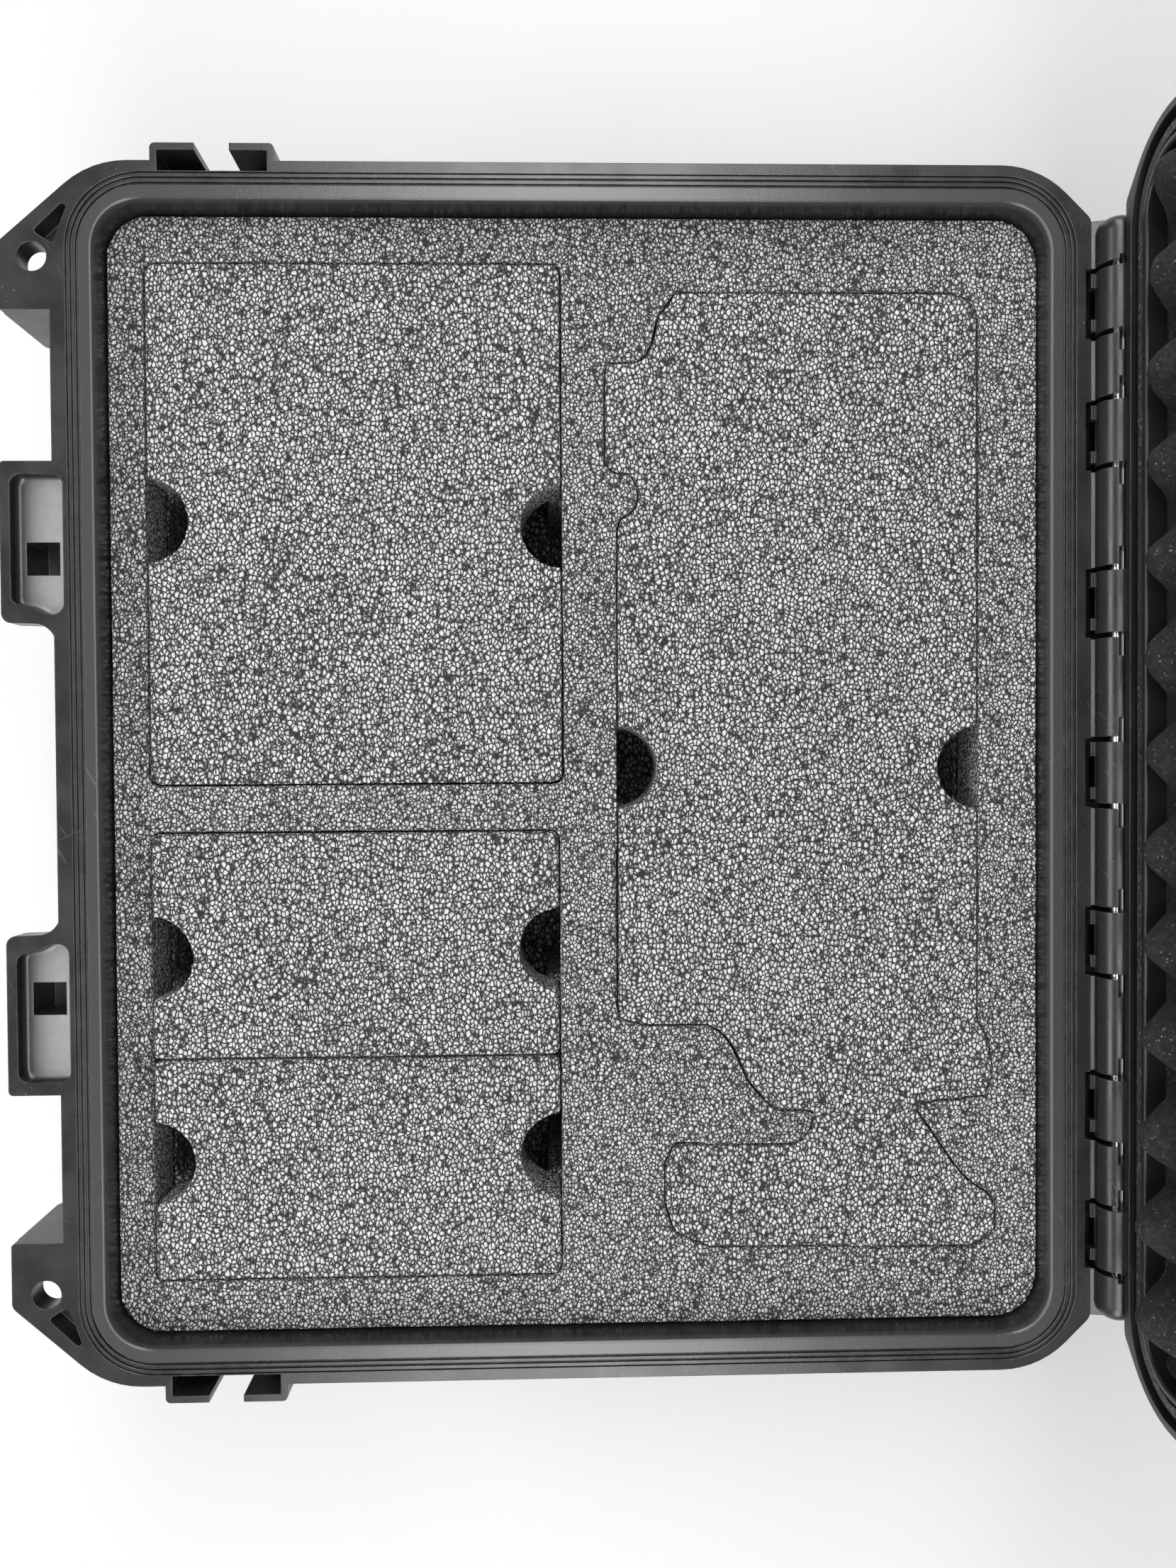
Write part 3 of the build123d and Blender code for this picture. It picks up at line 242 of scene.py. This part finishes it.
def rubber(name, base, dusty):
    t = Tree(name)
    col = t.mix(t.step(t.noise(120.0, 4.0), 0.35, 0.7), base, tuple(c * 1.5 for c in base))
    du = t.math("MULTIPLY", t.step(t.noise(900.0, 5.0, 0.7), 0.48, 0.66), t.lerp(t.step(t.noise(40.0, 2.0), 0.35, 0.6), 0.3, 1.0))
    col = t.mix(t.math("MULTIPLY", du, dusty), col, (0.30, 0.30, 0.27))
    n = t.bump(t.noise(1500.0, 3.0), 0.00006)
    n = t.bump(t.noise(90.0, 2.0), 0.0003, 1.0, n)
    return t.set(Base_Color=col, Roughness=t.lerp(du, 0.62, 0.9), Normal=n)


M_seal = rubber("rubber_seal", (0.016, 0.016, 0.0165), 0.45)
M_grip = rubber("rubber_grip", (0.014, 0.014, 0.0145), 0.12)


def steel(name):
    t = Tree(name)
    lines = t.noise(1.0, 3.0, 0.6, vec=t.scaled((60.0, 3500.0, 3500.0)))
    col = t.mix(lines, (0.50, 0.49, 0.47), (0.80, 0.79, 0.77))
    spots = t.step(t.noise(260.0, 4.0, 0.7), 0.62, 0.75)
    col = t.mix(t.math("MULTIPLY", spots, 0.45), col, (0.20, 0.17, 0.14))
    r = t.lerp(spots, t.lerp(lines, 0.16, 0.30), 0.5)
    return t.set(Base_Color=col, Metallic=1.0, Roughness=r, Normal=t.bump(lines, 0.00001))


M_steel = steel("steel_pin_mat")


# ---------------------------------------------------------------- foam
def foam_mat(name, cell, light, dark, gain=1.0, stretch=(0.80, 1.0, 1.0), fuzz=0.5):
    """closed-cell cut foam: small rounded cells; the bright cell domes and sparkle are painted highlights, the
    near-black seams painted shade
    """
    t = Tree(name)
    warp = t.t.nodes.new("ShaderNodeTexNoise")
    t.put(warp.inputs["Vector"], t.P)
    warp.inputs["Scale"].default_value = 0.55 / cell
    warp.inputs["Detail"].default_value = 2.0
    off = t.vmath("MULTIPLY", t.vmath("SUBTRACT", warp.outputs["Color"], (0.5, 0.5, 0.5)), (cell * 1.0,) * 3)
    vec = t.vmath("MULTIPLY", t.vmath("ADD", t.P, off), stretch)
    f = t.vor(1.0 / cell, "F1", vec=vec)
    d = f.outputs["Distance"]
    e = t.vor(1.0 / cell, "DISTANCE_TO_EDGE", vec=vec).outputs["Distance"]
    rnd, rnd2, _ = t.sep(f.outputs["Color"])
    # painted highlight: each cell brighter at its dome centre, with painted shade towards the seams
    dome_shape_and_highlight = t.math("MULTIPLY", t.step(d, 0.95, 0.25), t.step(e, 0.035, 0.17))
    spark = t.step(t.noise(1.3 / cell, 3.0, 0.6, vec=vec), 0.40, 0.62)
    b = t.math("MULTIPLY", dome_shape_and_highlight, t.math("ADD", 0.52, t.math("MULTIPLY", rnd, 0.58)))
    b = t.math("MULTIPLY", b, t.math("ADD", 0.68, t.math("MULTIPLY", spark, 0.52)))
    pit = t.step(rnd2, 0.90, 0.97)
    b = t.math("MULTIPLY", b, t.math("SUBTRACT", 1.0, t.math("MULTIPLY", pit, 0.4)))
    cloud = t.lerp(t.noise(18.0, 3.0), 0.88, 1.12)
    b = t.math("MULTIPLY", t.math("MULTIPLY", b, cloud), gain, clamp=True)
    # painted highlight and shade of the cells mixed into the foam colour
    col = t.mix(b, dark, light)
    h = t.math("ADD", t.math("MULTIPLY", dome_shape_and_highlight, t.math("ADD", 0.6, t.math("MULTIPLY", rnd, 0.7))), t.math("MULTIPLY", spark, 0.30))
    n = t.bump(h, cell * 0.45)
    return t.set(Base_Color=col, Roughness=t.lerp(dome_shape_and_highlight, 0.92, 0.55), Normal=n)


M_cover = foam_mat("foam_cover_mat", 0.00128, (0.405, 0.409, 0.413), (0.0050, 0.0052, 0.0056), 1.36, stretch=(0.74, 1.0, 1.0))
M_frame = foam_mat("foam_frame_mat", 0.00116, (0.395, 0.399, 0.403), (0.0055, 0.0057, 0.0061), 1.28)
M_deep = foam_mat("foam_deep_mat", 0.0018, (0.30, 0.30, 0.305), (0.008, 0.008, 0.0085), 1.0)


def lid_foam_mat(name):
    t = Tree(name)
    a = t.noise(520.0, 5.0, 0.70)
    f = t.vor(760.0, "F1").outputs["Distance"]
    speck = t.math("MULTIPLY", t.step(f, 0.30, 0.08), t.step(t.noise(300.0, 3.0), 0.45, 0.65))
    col = t.mix(t.step(a, 0.40, 0.66), (0.0010, 0.0011, 0.0012), (0.012, 0.0125, 0.0134))
    col = t.mix(t.math("MULTIPLY", speck, 0.75), col, (0.20, 0.20, 0.205))
    h = t.math("ADD", a, t.math("MULTIPLY", f, 0.5))
    return t.set(Base_Color=col, Roughness=0.95, Normal=t.bump(h, 0.0008))


M_egg = lid_foam_mat("foam_lid_mat")


# ---------------------------------------------------------------- value noise for the foam shapes
def hash3(i, j, k, seed):
    n = (i * 374761393 + j * 668265263 + k * 2147483647 + seed * 144665) & 0x7FFFFFFF
    n = ((n ^ (n >> 13)) * 1274126177) & 0x7FFFFFFF
    n = (n ^ (n >> 16)) & 0xFFFFFF
    return n / float(0xFFFFFF)


def vnoise(p, size, seed):
    q = p / size
    i = np.floor(q).astype(np.int64)
    f = q - i
    f = f * f * (3 - 2 * f)
    v = 0.0
    for dx in (0, 1):
        for dy in (0, 1):
            for dz in (0, 1):
                w = (f[:, 0] if dx else 1 - f[:, 0]) * (f[:, 1] if dy else 1 - f[:, 1]) * (f[:, 2] if dz else 1 - f[:, 2])
                v = v + w * hash3(i[:, 0] + dx, i[:, 1] + dy, i[:, 2] + dz, seed)
    return v * 2 - 1


def remeshed(node, name, voxel, smooth):
    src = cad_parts[node]
    bm = bmesh.new(); bm.from_mesh(src.data)
    bmesh.ops.transform(bm, matrix=src.matrix_world, verts=bm.verts)
    bmesh.ops.remove_doubles(bm, verts=bm.verts, dist=1e-5)
    me = bpy.data.meshes.new(name); bm.to_mesh(me); bm.free()
    ob = bpy.data.objects.new(name, me)
    scene.collection.objects.link(ob)
    r = ob.modifiers.new("voxels", "REMESH"); r.mode = "VOXEL"; r.voxel_size = voxel; r.use_smooth_shade = True
    if smooth:
        s = ob.modifiers.new("soften", "SMOOTH"); s.factor = 0.5; s.iterations = smooth
    dg = bpy.context.evaluated_depsgraph_get()
    new = bpy.data.meshes.new_from_object(ob.evaluated_get(dg))
    ob.modifiers.clear()
    ob.data = new
    ob.name = name
    return ob


def rough_up(ob, top, seed, wall=0.00030, face=0.00022, wave=0.0004):
    me = ob.data
    n = len(me.vertices)
    co = np.empty(n * 3); me.vertices.foreach_get("co", co); co = co.reshape(-1, 3)
    nr = np.empty(n * 3); me.vertex_normals.foreach_get("vector", nr); nr = nr.reshape(-1, 3)
    up = np.clip(nr[:, 2], 0, 1) * (co[:, 2] > top - 0.004)
    side = 1 - np.abs(nr[:, 2])
    a = vnoise(co, 0.0019, seed) * 0.6 + vnoise(co, 0.0042, seed + 1) * 0.4
    b = vnoise(co, 0.0300, seed + 2)
    c = vnoise(co, 0.0200, seed + 5)
    inward = -(0.5 + 0.5 * a) * wall * (1.1 + 0.9 * c) + 0.00012
    d = side * inward + up * (a * face)
    co = co + nr * d[:, None]
    co[:, 2] += up * (b * wave - wave * 0.5)
    me.vertices.foreach_set("co", co.ravel())
    me.update()
    return ob


def give(ob, mat, body, node):
    ob.data.materials.clear(); ob.data.materials.append(mat)
    for p in ob.data.polygons:
        p.use_smooth = True
    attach(ob, body)
    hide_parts(node)
    return ob


TOP = 0.106
fine = 0.0010
for node, name, vox, sm, top, seed, mat, body, slot, fill in (
    ("foam_top_layer", "foam_frame_soft", fine, 1, TOP, 11, M_frame, "base", "foam_frame", 0.95),
    ("cover_square", "cover_square_soft", fine, 1, TOP, 23, M_cover, "cover_square", "foam_cover", 0.95),
    ("cover_mid", "cover_mid_soft", fine, 1, TOP, 37, M_cover, "cover_mid", "foam_cover", 0.95),
    ("cover_low", "cover_low_soft", fine, 1, TOP, 41, M_cover, "cover_low", "foam_cover", 0.95),
    ("cover_drone", "cover_drone_soft", fine, 1, TOP, 53, M_cover, "cover_drone", "foam_cover", 0.95),
    ("foam_lower_layer", "foam_lower_soft", 0.0018, 1, 0.084, 67, M_deep, "base", "foam_dark", 0.95),
    ("foam_base_pad", "foam_pad_soft", 0.0025, 1, 0.0149, 71, M_deep, "base", "foam_dark", 0.95),
):
    give(rough_up(remeshed(node, name, vox, sm), top, seed), mat, body, node)


# egg-crate foam of the lid, shaped closed and then stood open with the lid
def egg_crate():
    gap = 0.0003
    x0, x1 = -IN_X + gap, IN_X - gap
    y0, y1 = IN_Y0 + gap, IN_Y1 - gap
    step = 0.0012
    xs = np.linspace(x0, x1, int((x1 - x0) / step)); ys = np.linspace(y0, y1, int((y1 - y0) / step))
    X, Y = np.meshgrid(xs, ys, indexing="ij")
    valley, rise, back = H + 0.0062, 0.0138, H + 0.040 - 0.0037
    # corner rounding: pull grid points onto the rounded outline
    cx, cy, r = (x0 + x1) / 2, (y0 + y1) / 2, 0.0147
    qx = np.abs(X - cx) - ((x1 - x0) / 2 - r); qy = np.abs(Y - cy) - ((y1 - y0) / 2 - r)
    m = (qx > 0) & (qy > 0)
    L = np.hypot(qx, qy); big = np.maximum(qx, qy)
    k = np.where(m & (L > 1e-9), big / np.maximum(L, 1e-9), 1.0)
    Xr = np.where(m, cx + np.sign(X - cx) * ((x1 - x0) / 2 - r + qx * k), X)
    Yr = np.where(m, cy + np.sign(Y - cy) * ((y1 - y0) / 2 - r + qy * k), Y)
    X, Y = Xr, Yr
    p = np.stack([X.ravel(), Y.ravel(), np.zeros(X.size)], 1)
    wx = vnoise(p, 0.022, 5).reshape(X.shape) * 0.0014
    wy = vnoise(p, 0.022, 6).reshape(X.shape) * 0.0014
    dx = (X + wx + 0.146 + 0.014) % 0.028 - 0.014
    dy = (0.144 - (Y + wy) + 0.014) % 0.028 - 0.014
    c = np.clip(np.cos(np.pi * dx / 0.028), 0, 1) * np.clip(np.cos(np.pi * dy / 0.028), 0, 1)
    inset = np.minimum.reduce([X - x0, x1 - X, Y - y0, y1 - Y])
    ease = np.clip(inset / 0.004, 0, 1); ease = ease * ease * (3 - 2 * ease)
    h = rise * c ** 1.35 * ease
    h = h + ease * (vnoise(p, 0.009, 7).reshape(X.shape) * 0.0007 + vnoise(p, 0.0032, 8).reshape(X.shape) * 0.00035) - 0.0004
    h = np.clip(h, -0.001, rise - 0.0002)
    Z = valley - h + np.interp(X, [-0.17, -0.06, 0.09, 0.17], [0.0020, 0.0004, -0.0006, -0.0022]) * ease * c
    nx, ny = X.shape
    top = np.stack([X, Y, Z], -1).reshape(-1, 3)
    idx = np.arange(nx * ny).reshape(nx, ny)
    faces = [tuple(q) for q in np.stack([idx[:-1, :-1], idx[:-1, 1:], idx[1:, 1:], idx[1:, :-1]], -1).reshape(-1, 4)]
    ring = list(idx[:, 0]) + list(idx[-1, 1:]) + list(idx[-2::-1, -1]) + list(idx[0, -2:0:-1])
    verts = [top]
    prev, n0 = ring, len(top)
    for s, zz in ((0.0, 0.5), (0.0, 1.0)):
        pts = top[ring].copy()
        if zz < 1.0:
            pts[:, 2] = (valley + back) / 2
        else:
            pts[:, 2] = back
            pts[:, 0] *= 0.975; pts[:, 1] = cy + (pts[:, 1] - cy) * 0.97
        verts.append(pts)
        cur = list(range(n0, n0 + len(ring))); n0 += len(ring)
        for a in range(len(ring)):
            b = (a + 1) % len(ring)
            faces.append((prev[a], prev[b], cur[b], cur[a]))
        prev = cur
    faces.append(tuple(prev))
    v = np.concatenate(verts)
    w = np.stack([v[:, 0], HY + (v[:, 2] - HZ), HZ - (v[:, 1] - HY)], 1)
    me = bpy.data.meshes.new("lid_foam_soft")
    me.from_pydata(w.tolist(), [], [tuple(int(i) for i in f) for f in faces])
    me.validate(); me.update()
    bm = bmesh.new(); bm.from_mesh(me); bmesh.ops.recalc_face_normals(bm, faces=bm.faces); bm.to_mesh(me); bm.free()
    ob = bpy.data.objects.new("lid_foam_soft", me)
    scene.collection.objects.link(ob)
    return ob


give(egg_crate(), M_egg, "lid", "lid_foam")

# ---------------------------------------------------------------- finishes on the CAD nodes
for names, mat in (
    (("base_shell",), M_shell), (("lid_shell",), M_lid),
    (("latch_link_left", "latch_link_right", "latch_lever_left", "latch_lever_right", "valve_body", "valve_cap"), M_latch),
    (("handle",), M_handle), (("handle_grip",), M_grip), (("lid_gasket", "valve_seal"), M_seal),
    (("hinge_pin", "latch_pin_left", "latch_pin_right", "lever_pin_left", "lever_pin_right", "handle_pins"), M_steel),
):
    for n in names:
        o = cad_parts[n]
        o.data.materials.clear(); o.data.materials.append(mat)

# ---------------------------------------------------------------- floor
bpy.ops.mesh.primitive_plane_add(size=6.0, location=(0, 0, -0.0005))
floor = bpy.context.object; floor.name = "floor"
t = Tree("floor_mat")
c = t.mix(t.step(t.noise(3.0, 2.0), 0.35, 0.7), (0.428, 0.431, 0.433), (0.446, 0.448, 0.448))
c = t.mix(t.math("MULTIPLY", t.step(t.vor(60.0).outputs["Distance"], 0.03, 0.015), 0.3), c, (0.45, 0.45, 0.44))
floor.data.materials.append(t.set(Base_Color=c, Roughness=0.6, Normal=t.bump(t.noise(900.0), 0.00005)))

# ---------------------------------------------------------------- light
world = bpy.data.worlds.new("studio"); scene.world = world
world.use_nodes = True
bg = world.node_tree.nodes["Background"]
bg.inputs[0].default_value = (0.93, 0.97, 1.0, 1)
bg.inputs[1].default_value = 0.26


def panel(name, loc, target, sx, sy, radiance, color=(1, 1, 1)):
    d = bpy.data.lights.new(name, "AREA"); d.shape = "RECTANGLE"
    d.size, d.size_y = sx, sy
    d.energy = radiance * math.pi * sx * sy
    d.color = color
    o = bpy.data.objects.new(name, d); scene.collection.objects.link(o)
    o.location = loc
    o.rotation_euler = (Vector(target) - Vector(loc)).to_track_quat("-Z", "Y").to_euler()
    return o


panel("panel_left", (-0.88, 0.0, 1.25), (0, 0, 0.1), 0.50, 2.2, 9.0)
panel("panel_right", (0.88, 0.0, 1.25), (0, 0, 0.1), 0.50, 2.2, 9.0)
panel("panel_front", (0.0, -1.75, 1.35), (0, 0, 0.1), 2.2, 0.50, 9.0)
panel("panel_back", (0.0, 0.95, 1.75), (0, 0, 0.1), 1.2, 0.5, 0.4)

# ---------------------------------------------------------------- camera
a_, b_, g_ = 0.018197557, -0.025266935, -0.007091379
ca, sa, cb, sb, cg, sg = math.cos(a_), math.sin(a_), math.cos(b_), math.sin(b_), math.cos(g_), math.sin(g_)
Rx = np.array([[1, 0, 0], [0, ca, -sa], [0, sa, ca]])
Ry = np.array([[cb, 0, sb], [0, 1, 0], [-sb, 0, cb]])
Rz = np.array([[cg, -sg, 0], [sg, cg, 0], [0, 0, 1]])
Mc = Rz @ Ry @ Rx @ np.array([[0, 1, 0], [1, 0, 0], [0, 0, -1.0]])
cam_d = bpy.data.cameras.new("cam"); cam = bpy.data.objects.new("cam", cam_d)
scene.collection.objects.link(cam)
cam_d.lens, cam_d.sensor_width, cam_d.sensor_fit = 27.05, 36.0, "AUTO"
cam_d.clip_start, cam_d.clip_end = 0.01, 20.0
mw = Matrix.Identity(4)
for r in range(3):
    mw[r][0], mw[r][1], mw[r][2] = Mc[0][r], -Mc[1][r], -Mc[2][r]
mw[0][3], mw[1][3], mw[2][3] = -0.004289, -0.000054, 0.492046
cam.matrix_world = mw
scene.camera = cam
scene.view_settings.view_transform = "Standard"
scene.view_settings.look = "None"
scene.view_settings.exposure = 0.0
